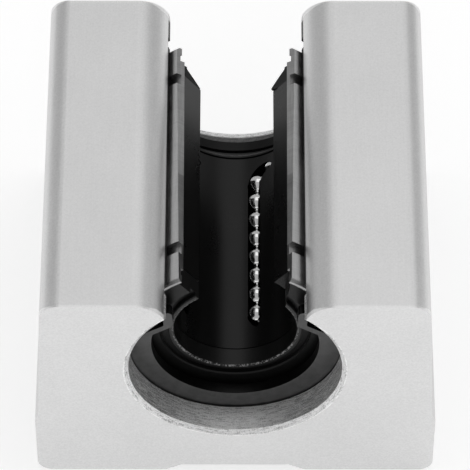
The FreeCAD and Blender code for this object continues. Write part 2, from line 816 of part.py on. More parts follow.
def locking_screw():
    """Headless screw with a plain point and a hexagon socket, across the right-hand wall."""
    body = new_body("locking_screw")
    sketch = new_sketch(body, "screw_section", "XY_Plane")
    polygon(sketch, [
        ("point_x", "0"),
        ("point_x", "point_r"),
        ("point_root", "point_r"),
        ("point_root", "screw_r"),
        ("screw_end", "screw_r"),
        ("screw_end", "0"),
    ])
    turn = body.newObject("PartDesign::Revolution", "screw_blank")
    turn.Profile = sketch
    turn.ReferenceAxis = (sketch, ["H_Axis"])
    turn.Angle = 360
    doc.recompute()
    volume = turn.Shape.Volume
    socket_sketch = new_sketch(body, "socket_section", "YZ_Plane")
    socket_sketch.AttachmentOffset = Placement(Vector(0, 0, size("screw_end")), Rotation())
    socket_sketch.setExpression("AttachmentOffset.Base.z", cell("screw_end"))
    polygon(socket_sketch, [
        ("key_corner", "0"),
        ("key_shoulder", "key_half"),
        ("-key_shoulder", "key_half"),
        ("-key_corner", "0"),
        ("-key_shoulder", "-key_half"),
        ("key_shoulder", "-key_half"),
    ])
    socket = body.newObject("PartDesign::Pocket", "hexagon_socket")
    socket.Profile = socket_sketch
    socket.Length = size("key_depth")
    socket.setExpression("Length", cell("key_depth"))
    doc.recompute()
    check_removed(volume, socket)
    seat_on_axis(body)
    return body


def ball(name, x, y, z):
    """One ball, its centre at three formulas of the named sizes."""
    sphere = doc.addObject("Part::Sphere", name)
    sphere.setExpression("Radius", cell("ball_r"))
    for axis, formula in zip("xyz", (x, y, z)):
        sphere.setExpression("Placement.Base." + axis, formula)
    return sphere


def ball_rows(circuit, step):
    """Centres of one circuit's balls at rest, as formulas: two straight rows, two turns."""
    lane = f"(dims.first_lane + {step} * dims.circuit_step)"
    back = f"({lane} + dims.lane_step)"
    load_at = (f"dims.load_r * cos({lane})", f"dims.load_r * sin({lane})")
    back_at = (f"dims.return_r * cos({back})", f"dims.return_r * sin({back})")
    # square to the line from one lane to the other, away from the shaft
    outwards = (f"({back_at[1]} - {load_at[1]})", f"({load_at[0]} - {back_at[0]})")
    rows = {"load_row": [], "return_row": [], "rear_turn": [], "front_turn": []}
    for number in range(int(size("ball_count"))):
        travel = f"({number} + dims.rest_phase) * dims.ball_pitch"
        rows["load_row"].append((load_at[0], f"{travel} - dims.straight_half", load_at[1]))
        rows["return_row"].append((back_at[0], f"dims.straight_half - {travel}", back_at[1]))
    for number in range(int(size("turn_balls"))):
        angle = f"(({number} + dims.rest_phase) * 180 / dims.turn_balls)"
        for end, sign, start, finish in (("rear", "", load_at, back_at),
                                         ("front", "-", back_at, load_at)):
            lift = f"sin({angle}) * sin(dims.{end}_lift)"
            x, z = (f"({a} * (1 + cos({angle})) + {b} * (1 - cos({angle})) + {lift} * {out}) / 2"
                    for a, b, out in zip(start, finish, outwards))
            reach = f"dims.straight_half + dims.turn_r * sin({angle}) * cos(dims.{end}_lift)"
            rows[end + "_turn"].append((x, f"{sign}({reach})", z))
    return {f"{circuit}_{part}": centres for part, centres in rows.items()}


def ball_groups():
    """Every ball at rest, in four groups per circuit."""
    groups = []
    for circuit, step in CIRCUITS.items():
        for name, centres in ball_rows(circuit, step).items():
            group = doc.addObject("Part::Compound", name)
            group.Label = name
            group.Links = [ball(f"{name}_ball{number}", x, y, f"dims.bore_height + {z}")
                           for number, (x, y, z) in enumerate(centres, 1)]
            groups.append(group)
    return groups


def build():
    fill_sheet()
    nodes = [
        housing(),
        bearing_sleeve(),
        ball_retainer(),
        end_seal("front_seal", "-", "front_seal_middle", "seal_gap"),
        end_seal("rear_seal", "", "cage_slot_middle", "cage_gap"),
        retaining_ring("front_retaining_ring", "-"),
        retaining_ring("rear_retaining_ring", ""),
        locking_screw(),
    ]
    nodes += ball_groups()
    doc.recompute()
    for item in doc.Objects:
        if "Invalid" in item.State or "Error" in item.State:
            raise ValueError(item.Name + " failed: " + ", ".join(item.State))
    for node in nodes:
        if node.Shape.isNull() or not node.Shape.isValid():
            raise ValueError(node.Label + " has no valid shape")
    os.makedirs("parts", exist_ok=True)
    for node in nodes:
        node.Shape.exportStep(f"parts/{node.Label}.step")
    for node in nodes:
        print(f"{node.Label}: {len(node.Shape.Solids)} solids, {node.Shape.Volume:.2f} mm3")


build()
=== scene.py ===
import math

import bpy
import numpy as np
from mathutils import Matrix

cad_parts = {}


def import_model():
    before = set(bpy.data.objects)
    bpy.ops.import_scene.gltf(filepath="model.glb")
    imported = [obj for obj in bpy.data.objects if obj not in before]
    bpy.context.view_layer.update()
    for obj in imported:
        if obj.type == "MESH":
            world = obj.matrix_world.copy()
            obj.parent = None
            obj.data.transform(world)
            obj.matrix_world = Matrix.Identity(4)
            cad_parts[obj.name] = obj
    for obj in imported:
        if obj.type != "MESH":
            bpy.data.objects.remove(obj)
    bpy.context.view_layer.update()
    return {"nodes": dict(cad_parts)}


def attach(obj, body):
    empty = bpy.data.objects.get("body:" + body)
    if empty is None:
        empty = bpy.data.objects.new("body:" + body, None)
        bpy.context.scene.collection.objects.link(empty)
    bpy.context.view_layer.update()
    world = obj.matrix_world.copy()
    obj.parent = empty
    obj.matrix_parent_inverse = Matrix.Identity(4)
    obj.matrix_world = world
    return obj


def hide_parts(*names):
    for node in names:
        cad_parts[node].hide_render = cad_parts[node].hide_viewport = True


# Open linear bearing block, standing on its mounting face. Metres, +Z up, +Y along the
# shaft, +X to the right. Every CAD node gets its finish here. The sleeve and the two end
# seals are made again as finer surfaces, each in place of its CAD node, and the mounting
# holes get their threads.

MM = 0.001
FULL_TURN = 2.0 * math.pi

# Housing. A rise or a fall is the two places between which a finish or a painted shade comes or
# goes.
AXIS_HEIGHT = 17.0 * MM
BORE_RADIUS = 10.51 * MM
BORE_CHAMFER = 0.5 * MM
BLOCK_END = 19.5 * MM
RING_GROOVE_END = 16.25 * MM
FLANK_RISE = (22.0 * MM, 24.0 * MM)
MOUTH_TIP_RISE = (24.4 * MM, 25.0 * MM)
MOUTH_TIP_FALL = (26.4 * MM, 27.4 * MM)
MOUTH_TIP_WIDENING = 0.30 * MM
# Painted shade: the rear half of the bore is painted darker from the first to the second of
# these places.
REAR_BORE_SHADE_RISE = (0.0, 1.0 * MM)
REAR_BORE_SHADE_FALL = (18.5 * MM, 18.8 * MM)

# Sleeve. The slot's side is given by its x at the front end, on the inside and on the
# outside, and by how much wider it gets up to the rear end.
SLEEVE_RADIUS = 10.5 * MM
SLEEVE_WALL = 0.8 * MM
SLEEVE_BORE = SLEEVE_RADIUS - SLEEVE_WALL
SLEEVE_END = 15.0 * MM
SLEEVE_COLUMNS = 300
SLOT_INNER_X = 5.068 * MM
SLOT_INNER_WIDENING = 0.137 * MM
SLOT_OUTER_X = 5.486 * MM
SLOT_OUTER_WIDENING = 0.567 * MM
RING_SEAT_START = 10.2 * MM
RING_SEAT_END = 11.5 * MM
RING_SEAT_DEPTH = 0.5 * MM
SNAP_GROOVE_START = 13.3 * MM
SNAP_GROOVE_END = 14.1 * MM
SNAP_GROOVE_DEPTH = 0.4 * MM
END_LIP_DEPTH = 0.25 * MM
END_CHAMFER = 0.3 * MM
LAND_END = 8.21 * MM
LAND_RADIUS = 8.431 * MM
LAND_ROOT = 0.1 * MM
LAND_MIDDLES = np.radians((90.0, 162.0, 234.0, 306.0))
LAND_HALF_WIDTH = math.radians(9.0)
LAND_COLUMNS = 12
DIMPLE_RADIUS = 1.3 * MM
DIMPLE_EDGE = 0.1 * MM
DIMPLE_DEPTH = 0.5 * MM
DIMPLE_REACH = 1.5 * MM
DIMPLE_ROWS = 11

# End seals.
SEAL_RADIUS = 9.67 * MM
SEAL_START = 12.23 * MM
SEAL_END = 14.4 * MM
SEAL_COLUMNS = 160
RELIEF_LENGTH = 0.14 * MM
RELIEF_DEPTH = 0.4 * MM
BEAD_START = 13.33 * MM
BEAD_END = 14.07 * MM
BEAD_HEIGHT = 0.25 * MM
LIP_INNER = 6.12 * MM
LIP_OUTER = 6.62 * MM
LIP_NARROWING = 0.08 * MM
RIM_INNER = 7.45 * MM
RIM_CHAMFER_START = 14.25 * MM
RIM_CHAMFER = 0.25 * MM
BROKEN_EDGE = 0.10 * MM
FACE_GROOVE_DEPTH = 0.55 * MM
FRONT_RIGHT_X = 4.93 * MM
FRONT_RIGHT_SLOPE = 0.15
FRONT_LEFT_ANGLE = math.radians(324.0)
REAR_LIP_ANGLE = math.radians(36.5)
REAR_ANGLE_WIDENING = math.radians(5.0)
REAR_FLAT = 0.2 * MM
REAR_SLOPE = 1.15
REAR_SLOPE_DEPTH = 1.8 * MM

# Threads of the mounting holes.
HOLE_X = 14.0 * MM
HOLE_Y = 13.0 * MM
THREAD_CREST = 1.82 * MM
THREAD_ROOT = 2.08 * MM
THREAD_PITCH = 0.8 * MM
THREAD_START = 0.7 * MM
THREAD_END = 11.0 * MM
THREAD_COLUMNS = 48
ROWS_PER_PITCH = 10

# Stage.
FLOOR_REACH = 1.2
FLOOR_DROP = 0.05 * MM
FLOOR_GLOW = 0.45
SOFT_LIGHT = 0.48


# ---------------------------------------------------------------- shader building

class Value:
    """A node's output socket; arithmetic on it adds Math nodes to its tree."""

    def __init__(self, tree, socket):
        self.tree = tree
        self.socket = socket

    def _math(self, operation, *terms):
        return self.tree.node("ShaderNodeMath", {"operation": operation}, list(terms))

    def __add__(self, other):
        return self._math("ADD", self, other)

    def __radd__(self, other):
        return self._math("ADD", other, self)

    def __sub__(self, other):
        return self._math("SUBTRACT", self, other)

    def __rsub__(self, other):
        return self._math("SUBTRACT", other, self)

    def __mul__(self, other):
        return self._math("MULTIPLY", self, other)

    def __rmul__(self, other):
        return self._math("MULTIPLY", other, self)

    def __pow__(self, other):
        return self._math("POWER", self, other)

    def __abs__(self):
        return self._math("ABSOLUTE", self)


class Tree:
    """A node tree, where one method adds every node."""

    def __init__(self, nodes, links):
        self.nodes = nodes
        self.links = links

    def node(self, kind, settings=None, inputs=None, output=0):
        """Add one node: its settings first, then values or links by socket name or order."""
        node = self.nodes.new(kind)
        for key, value in (settings or {}).items():
            setattr(node, key, value)
        pairs = enumerate(inputs) if isinstance(inputs, list) else (inputs or {}).items()
        for key, value in pairs:
            self.feed(node.inputs[key], value)
        return Value(self, node.outputs[output])

    def feed(self, socket, value):
        """Link a Value to a socket, or set the socket to a plain value."""
        if isinstance(value, Value):
            self.links.new(value.socket, socket)
        else:
            socket.default_value = value


class Finish(Tree):
    """One material: a Principled shader whose fixed values are set on its own sockets."""

    def __init__(self, name, fixed):
        self.material = bpy.data.materials.new(name)
        self.material.use_nodes = True
        super().__init__(self.material.node_tree.nodes, self.material.node_tree.links)
        self.shader = self.nodes["Principled BSDF"]
        for socket, value in fixed.items():
            self.shader.inputs[socket].default_value = value

    def set(self, name, value):
        """Link what varies over the surface to one of the shader's sockets."""
        self.feed(self.shader.inputs[name], value)

    def point(self):
        """The place on the object."""
        return self.node("ShaderNodeTexCoord", output="Object")

    def facing(self):
        """The surface's own direction."""
        return self.node("ShaderNodeNewGeometry", output="Normal")

    def parts(self, vector):
        """The x, y and z of a vector."""
        node = self.node("ShaderNodeSeparateXYZ", None, [vector]).socket.node
        return [Value(self, socket) for socket in node.outputs]

    def stretched(self, point, scale):
        """The place with each of its parts multiplied by its own scale."""
        return self.node("ShaderNodeMapping", None, {"Vector": point, "Scale": scale})

    def noise(self, point, scale=1.0, detail=2.0, roughness=0.5):
        """Cloudy pattern from 0 to 1, with so many cells to the metre."""
        return self.node("ShaderNodeTexNoise", None,
                         {"Vector": point, "Scale": scale, "Detail": detail,
                          "Roughness": roughness})

    def step(self, value, low, high):
        """0 below low, 1 above high, smooth between."""
        return self.node("ShaderNodeMapRange", {"interpolation_type": "SMOOTHSTEP"},
                         {"Value": value, "From Min": low, "From Max": high})

    def band(self, value, rise, fall):
        """0, then up to 1 between the two places of rise, and down between those of fall."""
        return self.step(value, *rise) * (1.0 - self.step(value, *fall))

    def grey(self, level):
        """The grey with this level in red, green and blue."""
        return self.node("ShaderNodeCombineColor", None, [level, level, level])

    def bump(self, height, strength, depth, below=None):
        """Small relief of this depth, on top of another relief if one is given."""
        inputs = {"Height": height, "Strength": strength, "Distance": depth}
        if below:
            inputs["Normal"] = below
        return self.node("ShaderNodeBump", None, inputs)


def swing(pattern, amount):
    """A pattern from 0 to 1 as a swing about nothing, this much from end to end."""
    return (pattern - 0.5) * amount


def axis_distance(x, z):
    """Distance from the shaft's axis: the root of x squared plus the height over it squared."""
    height = z - AXIS_HEIGHT
    return (x * x + height * height) ** 0.5


# ---------------------------------------------------------------- finishes
#
# Levels run from 0, black, to 1, white. A mask is 1 on the surface that it is named for
# and 0 elsewhere, and the number beside it says how much that surface adds or takes.

def aluminium_finish():
    """Blasted extrusion with milled ends, broken edges and a coarsely turned bore; painted
    highlights on the mouth tips' edges and the bore's chamfer, a painted-lighter bore floor, and
    painted shade in the ring groove and the rear half of the bore.
    """
    f = Finish("blasted_aluminium", {})
    point = f.point()
    x, y, z = f.parts(point)
    nx, ny, nz = f.parts(f.facing())
    to_end = abs(y)

    chamfer_edge = BORE_RADIUS + BORE_CHAMFER
    bore = 1.0 - f.step(axis_distance(x, z), chamfer_edge - 0.05 * MM, chamfer_edge + 0.05 * MM)
    end_face = f.step(abs(ny), 0.9, 0.97)
    skin = (1.0 - bore) * (1.0 - end_face)
    wider_at_tip = f.band(z, MOUTH_TIP_RISE, MOUTH_TIP_FALL) * MOUTH_TIP_WIDENING
    broken_edge = skin * f.step(to_end + wider_at_tip, BLOCK_END - 0.30 * MM,
                                BLOCK_END - 0.12 * MM)
    # Painted highlight: the broken edge on the mouth's flanks, wider at the tips, is painted
    # brighter and less metallic, standing in for the light the rounded edge catches.
    painted_edge_highlight = broken_edge * f.step(abs(nx), 0.15, 0.6) * f.step(z, *FLANK_RISE)
    # Painted highlight: the bore's chamfer is painted brighter, with ragged bright streaks.
    painted_chamfer_highlight = bore * f.step(abs(ny), 0.5, 0.6)
    # Painted shade: the bore from the ring groove inwards is painted almost black.
    painted_groove_shade = bore * (1.0 - f.step(to_end, RING_GROOVE_END + 0.08 * MM,
                                RING_GROOVE_END + 0.14 * MM))
    # Painted light: the upward-facing floor of the bore is painted lighter.
    painted_light_bore_floor = bore * f.step(nz, 0.70, 1.0)
    # Painted shade: the rear half of the bore is painted much darker.
    painted_rear_bore_shade = bore * f.band(y, REAR_BORE_SHADE_RISE, REAR_BORE_SHADE_FALL)

    grain = f.noise(point, scale=5200.0, detail=3.0, roughness=0.6)
    draw_lines = f.noise(f.stretched(point, (9000.0, 260.0, 9000.0)))
    cloud = f.noise(point, scale=160.0)
    turning = f.noise(f.stretched(point, (900.0, 8500.0, 900.0)), detail=3.0, roughness=0.75)
    chips = f.step(f.noise(point, scale=9000.0, roughness=0.7), 0.48, 0.60)
    ragged = f.step(f.noise(point, scale=3800.0, detail=3.0, roughness=0.7), 0.44, 0.56)

    # The level adds the painted highlights and the painted-lighter bore floor, and multiplies in
    # the painted shade of the groove and the rear bore.
    level = 0.70 + swing(grain, 0.24) + swing(draw_lines, 0.06) + swing(cloud, 0.05)
    level += end_face * 0.05 + painted_edge_highlight * 0.28 + painted_light_bore_floor * 0.20
    level += bore * (chips * 0.34 + swing(turning, 2.2) - 0.10)
    level += painted_chamfer_highlight * (0.14 + ragged * 0.12)
    level *= (1.0 - painted_groove_shade * 0.95) * (1.0 - painted_rear_bore_shade * 0.85)
    f.set("Base Color", f.grey(level))
    f.set("Metallic", 1.0 - painted_edge_highlight * 0.8)
    f.set("Roughness", 0.42 + swing(grain, 0.2) + bore * 0.10 - end_face * 0.02
          - broken_edge * 0.1)
    surface = f.bump(grain * skin, strength=0.35, depth=0.02 * MM)
    f.set("Normal", f.bump((turning + chips) * bore, strength=0.6, depth=0.03 * MM,
                           below=surface))
    return f.material


def bearing_steel_finish():
    """Hardened steel: ground outside, with a fine grain from the saw on the slot's sides; all
    below the ground outside is darker, partly its sawn and bored tone and partly painted shade
    in the ring seats and grooves.
    """
    f = Finish("ground_bearing_steel", {"Metallic": 1.0})
    point = f.point()
    x, _, z = f.parts(point)
    # Darker below the ground outside: partly the sawn and bored surfaces' own tone, partly
    # painted shade in the ring seats, grooves and bore.
    inside = 1.0 - f.step(axis_distance(x, z), SLEEVE_RADIUS - 0.10 * MM,
                          SLEEVE_RADIUS - 0.02 * MM)
    lines = f.noise(f.stretched(point, (300.0, 8000.0, 300.0)), detail=3.0)
    saw = f.noise(f.stretched(point, (7000.0, 500.0, 7000.0)), detail=3.0)
    spots = f.noise(point, scale=900.0, detail=3.0)
    f.set("Base Color", f.grey(0.56 - inside * 0.20 + swing(lines, 0.16) + swing(spots, 0.10)
                               + swing(saw, 0.16)))
    f.set("Roughness", 0.34 + swing(spots, 0.2))
    f.set("Normal", f.bump(lines + saw, strength=0.25, depth=0.01 * MM))
    return f.material


def ball_finish():
    """Polished ball steel."""
    f = Finish("polished_ball_steel", {"Metallic": 1.0})
    smudge = f.noise(f.point(), scale=1500.0)
    f.set("Base Color", f.grey(0.78 + swing(smudge, 0.06)))
    f.set("Roughness", 0.07 + smudge * 0.05)
    return f.material


def cage_finish():
    """Black moulded plastic with a satin skin."""
    f = Finish("black_cage_plastic", {"Specular IOR Level": 0.22})
    point = f.point()
    flow = f.noise(f.stretched(point, (500.0, 120.0, 500.0)), detail=3.0)
    skin = f.noise(point, scale=3500.0)
    f.set("Base Color", f.grey(0.003 + flow * 0.004))
    f.set("Roughness", 0.24 + flow * 0.10 + swing(skin, 0.06))
    f.set("Normal", f.bump(skin, strength=0.12, depth=0.01 * MM))
    return f.material


def seal_finish():
    """Black moulded rubber with a fine skin; its lip's edge speckled light, partly grit and
    partly painted highlight, painted light on the upper lip, and a painted highlight along the
    rim's edge.
    """
    f = Finish("black_seal_rubber", {"Specular IOR Level": 0.25})
    point = f.point()
    x, y, z = f.parts(point)
    radius = axis_distance(x, z)
    specks = f.step(f.noise(point, scale=5200.0, roughness=0.7), 0.46, 0.60)
    face = f.step(abs(y), SEAL_END - 0.20 * MM, SEAL_END - 0.12 * MM)
    lip = face * (1.0 - f.step(radius, LIP_OUTER, RIM_INNER))
    # The lip's edge is speckled light: partly grit, partly a painted highlight.
    lip_edge_grit_and_highlight = lip * (1.0 - f.step(radius, LIP_INNER + 0.10 * MM, LIP_INNER + 0.22 * MM))
    # Painted light: the lip is painted lighter towards its top.
    painted_light_upper_lip = lip * f.step(z, 11.0 * MM, 18.0 * MM)
    rim_top = SEAL_RADIUS - RIM_CHAMFER
    # Painted highlight: a thin bright line along the rim's chamfered edge.
    painted_rim_highlight = face * f.band(radius, (rim_top - 0.16 * MM, rim_top - 0.10 * MM),
                             (rim_top - 0.02 * MM, rim_top + 0.02 * MM))
    skin = f.noise(point, scale=3000.0, detail=3.0)
    # Painted light enters the colour here: the lip edge's highlight, the upper lip's light and
    # the rim's highlight.
    f.set("Base Color", f.grey(0.004 + skin * 0.006 + lip_edge_grit_and_highlight * specks * 0.32
                               + painted_light_upper_lip * 0.035 + painted_rim_highlight * (0.3 + specks) * 0.14))
    f.set("Roughness", 0.36 + swing(skin, 0.16))
    f.set("Normal", f.bump(skin, strength=0.2, depth=0.01 * MM))
    return f.material


def ring_finish():
    """Blackened spring steel whose faces other than the flat sides are painted far darker as
    shade.
    """
    f = Finish("blackened_spring_steel", {"Metallic": 0.85})
    _, ny, _ = f.parts(f.facing())
    # Painted shade: every face but the flat sides, such as the inner and outer edges, is painted
    # far darker.
    unshaded_flat_sides = f.step(abs(ny), 0.5, 0.9)
    oxide = f.noise(f.point(), scale=1400.0, detail=3.0)
    f.set("Base Color", f.grey((0.085 + swing(oxide, 0.06)) * (0.12 + unshaded_flat_sides * 0.88)))
    f.set("Roughness", 0.36 + swing(oxide, 0.2))
    f.set("Normal", f.bump(oxide, strength=0.15, depth=0.01 * MM))
    return f.material


def screw_finish():
    """Blackened screw steel."""
    f = Finish("blackened_screw_steel", {"Metallic": 0.8})
    oxide = f.noise(f.point(), scale=1600.0)
    f.set("Base Color", f.grey(0.045 + oxide * 0.02))
    f.set("Roughness", 0.32 + oxide * 0.15)
    return f.material


def thread_finish():
    """Bright cut threads."""
    f = Finish("cut_thread_aluminium", {"Metallic": 1.0})
    chatter = f.noise(f.point(), scale=4000.0)
    f.set("Base Color", f.grey(0.58 + swing(chatter, 0.1)))
    f.set("Roughness", 0.30 + chatter * 0.1)
    return f.material


# ---------------------------------------------------------------- new pieces

def patch_mesh(name, grids):
    """A mesh from arrays of point grids, each (grids, rows, columns, 3), edges kept sharp.

    Each grid has points of its own. Its faces look to the side from which the columns
    run right while the rows run up.
    """
    points, quads, used = [], [], 0
    for group in grids:
        count, rows, columns = group.shape[:3]
        index = np.arange(count * rows * columns).reshape(count, rows, columns) + used
        quads.append(np.stack([index[:, :-1, :-1], index[:, :-1, 1:], index[:, 1:, 1:],
                               index[:, 1:, :-1]], axis=-1).reshape(-1, 4))
        points.append(group.reshape(-1, 3))
        used += count * rows * columns
    mesh = bpy.data.meshes.new(name)
    mesh.from_pydata(np.concatenate(points), [], np.concatenate(quads))
    mesh.shade_smooth()
    mesh.update()
    piece = bpy.data.objects.new(name, mesh)
    bpy.context.scene.collection.objects.link(piece)
    return piece


def swept_grids(stations, start, end, columns):
    """Point grids of a solid swept part of the way round the shaft's axis.

    Each station is (y, inner radius, outer radius), and two at one y make a step. start
    and end give the sweep's first and last angle, from straight up towards +X, for any
    radius and y. A point at radius r and angle a is (r sin a, y, axis height + r cos a).
    Every edge of the section makes one strip, and the two sides are closed between
    stations.
    """
    stations = np.array(stations)
    y, inner, outer = stations.T
    edges = np.concatenate([
        np.column_stack([y[:-1], outer[:-1], y[1:], outer[1:]]),
        np.column_stack([y[1:], inner[1:], y[:-1], inner[:-1]]),
        [[y[0], inner[0], y[0], outer[0]], [y[-1], outer[-1], y[-1], inner[-1]]],
    ])
    edges = edges[np.hypot(edges[:, 0] - edges[:, 2], edges[:, 1] - edges[:, 3]) > 0.0]

    def points(y, r, share):
        a = start(r, y) * (1.0 - share) + end(r, y) * share
        return np.stack(np.broadcast_arrays(r * np.sin(a), y, AXIS_HEIGHT + r * np.cos(a)),
                        axis=-1)

    strips = points(edges[:, [0, 2], None], edges[:, [1, 3], None],
                    np.linspace(0.0, 1.0, columns + 1))
    apart = y[:-1] < y[1:]
    side = np.stack([stations[:-1][apart], stations[1:][apart]], axis=1)
    side_y, side_r = side[..., [0, 0]], side[..., 1:]
    return [strips, points(side_y, side_r, 0.0), points(side_y, side_r, 1.0)[:, ::-1]]


def both_ends(half):
    """Stations from the middle to the +Y end, with the same ones mirrored before them."""
    return [(-y, inner, outer) for y, inner, outer in reversed(half)] + half


def slot_side(r, y):
    """Angle of the slot's +X side from straight up.

    The side lies at x = inner x + (outer x - inner x) * (r - bore radius) / wall, where
    both x go in a straight line from the front end to the rear one, and the angle is
    arcsin(x / r).
    """
    along = (y + SLEEVE_END) / (2.0 * SLEEVE_END)
    inner_x = SLOT_INNER_X + SLOT_INNER_WIDENING * along
    outer_x = SLOT_OUTER_X + SLOT_OUTER_WIDENING * along
    return np.arcsin((inner_x + (outer_x - inner_x) * (r - SLEEVE_BORE) / SLEEVE_WALL) / r)


def sink_dimple(points):
    """Sink the screw's dimple into the sleeve's outside, on its +X side.

    The depth goes from full to nothing in a straight line, over the edge inside the
    dimple's radius. Each point moves towards the axis by the depth, so x and the height
    over the axis are both multiplied by 1 - depth / radius.
    """
    height = points[..., 2] - AXIS_HEIGHT
    radius = np.hypot(points[..., 0], height)
    angle = np.arctan2(points[..., 0], height)
    away = np.hypot((angle - FULL_TURN / 4.0) * radius, points[..., 1])
    depth = DIMPLE_DEPTH * np.clip((DIMPLE_RADIUS - away) / DIMPLE_EDGE, 0.0, 1.0)
    depth *= radius > SLEEVE_RADIUS - 0.01 * MM
    points[..., 0] *= 1.0 - depth / radius
    points[..., 2] = AXIS_HEIGHT + height * (1.0 - depth / radius)


def build_sleeve(finish):
    """The sleeve: ring seats, snap grooves, opened ends, ball lands, slot and dimple.

    Its slot is cut straight from end to end. A land is a bar along the bore, between two
    angles.
    """
    seat = SLEEVE_RADIUS - RING_SEAT_DEPTH
    snap_groove = SLEEVE_BORE + SNAP_GROOVE_DEPTH
    end_lip = SLEEVE_BORE + END_LIP_DEPTH
    half = [(y, SLEEVE_BORE, SLEEVE_RADIUS) for y in np.linspace(0.0, DIMPLE_REACH, DIMPLE_ROWS)]
    half += [
        (RING_SEAT_START, SLEEVE_BORE, SLEEVE_RADIUS),
        (RING_SEAT_START, SLEEVE_BORE, seat),
        (RING_SEAT_END, SLEEVE_BORE, seat),
        (RING_SEAT_END, SLEEVE_BORE, SLEEVE_RADIUS),
        (SNAP_GROOVE_START, SLEEVE_BORE, SLEEVE_RADIUS),
        (SNAP_GROOVE_START, snap_groove, SLEEVE_RADIUS),
        (SNAP_GROOVE_END, snap_groove, SLEEVE_RADIUS),
        (SNAP_GROOVE_END, end_lip, SLEEVE_RADIUS),
        (SLEEVE_END - END_CHAMFER, end_lip, SLEEVE_RADIUS),
        (SLEEVE_END, end_lip, SLEEVE_RADIUS - END_CHAMFER),
    ]
    grids = swept_grids(both_ends(half), slot_side, lambda r, y: FULL_TURN - slot_side(r, y),
                        SLEEVE_COLUMNS)
    sink_dimple(grids[0])

    land = [(y, LAND_RADIUS, SLEEVE_BORE + LAND_ROOT) for y in (-LAND_END, LAND_END)]
    for middle in LAND_MIDDLES:
        grids += swept_grids(land, lambda r, y: middle - LAND_HALF_WIDTH,
                             lambda r, y: middle + LAND_HALF_WIDTH, LAND_COLUMNS)
    piece = patch_mesh("bearing_sleeve_shell", grids)
    piece.data.materials.append(finish)
    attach(piece, "block")
    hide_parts("bearing_sleeve")


def end_seal(name, sections, side, start, end, finish):
    """One end seal, a split rubber ring of one or more swept sections.

    The sections' stations are those of the rear end, and side is 1 there and -1 at the
    front, where they are mirrored.
    """
    grids = []
    for section in sections:
        stations = [(side * y, inner, outer) for y, inner, outer in section[::side]]
        grids += swept_grids(stations, start, end, SEAL_COLUMNS)
    piece = patch_mesh(name + "_moulding", grids)
    piece.data.materials.append(finish)
    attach(piece, "block")
    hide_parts(name)


def seal_root():
    """Stations of the end that both seals hold against the cage, with its relief."""
    relief_end = SEAL_START + RELIEF_LENGTH
    return [(SEAL_START, LIP_INNER + RELIEF_DEPTH, SEAL_RADIUS),
            (relief_end, LIP_INNER + RELIEF_DEPTH, SEAL_RADIUS),
            (relief_end, LIP_INNER, SEAL_RADIUS)]


def build_front_seal(finish):
    """The front seal: its lip runs on from the cage, and a groove parts lip and rim.

    Its left side is cut at one angle from straight up, and its right side at
    x = front right x + slope * (r - lip radius), where the angle is arcsin(x / r).
    """
    bead = SEAL_RADIUS + BEAD_HEIGHT
    web_end = SEAL_END - FACE_GROOVE_DEPTH
    web = seal_root() + [(BEAD_START, LIP_INNER, SEAL_RADIUS), (BEAD_START, LIP_INNER, bead),
                         (web_end, LIP_INNER, bead)]
    lip = [(web_end, LIP_INNER, LIP_OUTER),
           (SEAL_END - BROKEN_EDGE, LIP_INNER, LIP_OUTER),
           (SEAL_END, LIP_INNER + BROKEN_EDGE, LIP_OUTER - LIP_NARROWING)]
    rim = [(web_end, RIM_INNER, bead), (BEAD_END, RIM_INNER, bead),
           (BEAD_END, RIM_INNER, SEAL_RADIUS), (RIM_CHAMFER_START, RIM_INNER, SEAL_RADIUS),
           (SEAL_END, RIM_INNER + BROKEN_EDGE, SEAL_RADIUS - RIM_CHAMFER)]

    def right_side(r, y):
        return np.arcsin((FRONT_RIGHT_X + FRONT_RIGHT_SLOPE * (r - LIP_INNER)) / r)

    def left_side(r, y):
        return FRONT_LEFT_ANGLE

    end_seal("front_seal", [web, lip, rim], -1, right_side, left_side, finish)


def build_rear_seal(finish):
    """The rear seal, whose face slopes back from the rim to the lip.

    From the slope's start the inner radius grows by slope times the way along, up to the
    slope's depth. Each side is cut at the lip's angle from straight up, plus a widening
    in proportion to the radius outside the lip.
    """
    root = seal_root()
    slope_start = root[-1][0] + REAR_FLAT

    def sloped(y):
        return LIP_INNER + min(REAR_SLOPE_DEPTH, (y - slope_start) * REAR_SLOPE)

    bead = SEAL_RADIUS + BEAD_HEIGHT
    outside = [(slope_start, SEAL_RADIUS), (BEAD_START, SEAL_RADIUS), (BEAD_START, bead),
               (BEAD_END, bead), (BEAD_END, SEAL_RADIUS), (RIM_CHAMFER_START, SEAL_RADIUS),
               (SEAL_END, SEAL_RADIUS - RIM_CHAMFER)]
    stations = root + [(y, sloped(y), outer) for y, outer in outside]

    def right_side(r, y):
        share = (r - LIP_INNER) / (SEAL_RADIUS - LIP_INNER)
        return REAR_LIP_ANGLE + REAR_ANGLE_WIDENING * share

    def left_side(r, y):
        return FULL_TURN - right_side(r, y)

    end_seal("rear_seal", [stations], 1, right_side, left_side, finish)


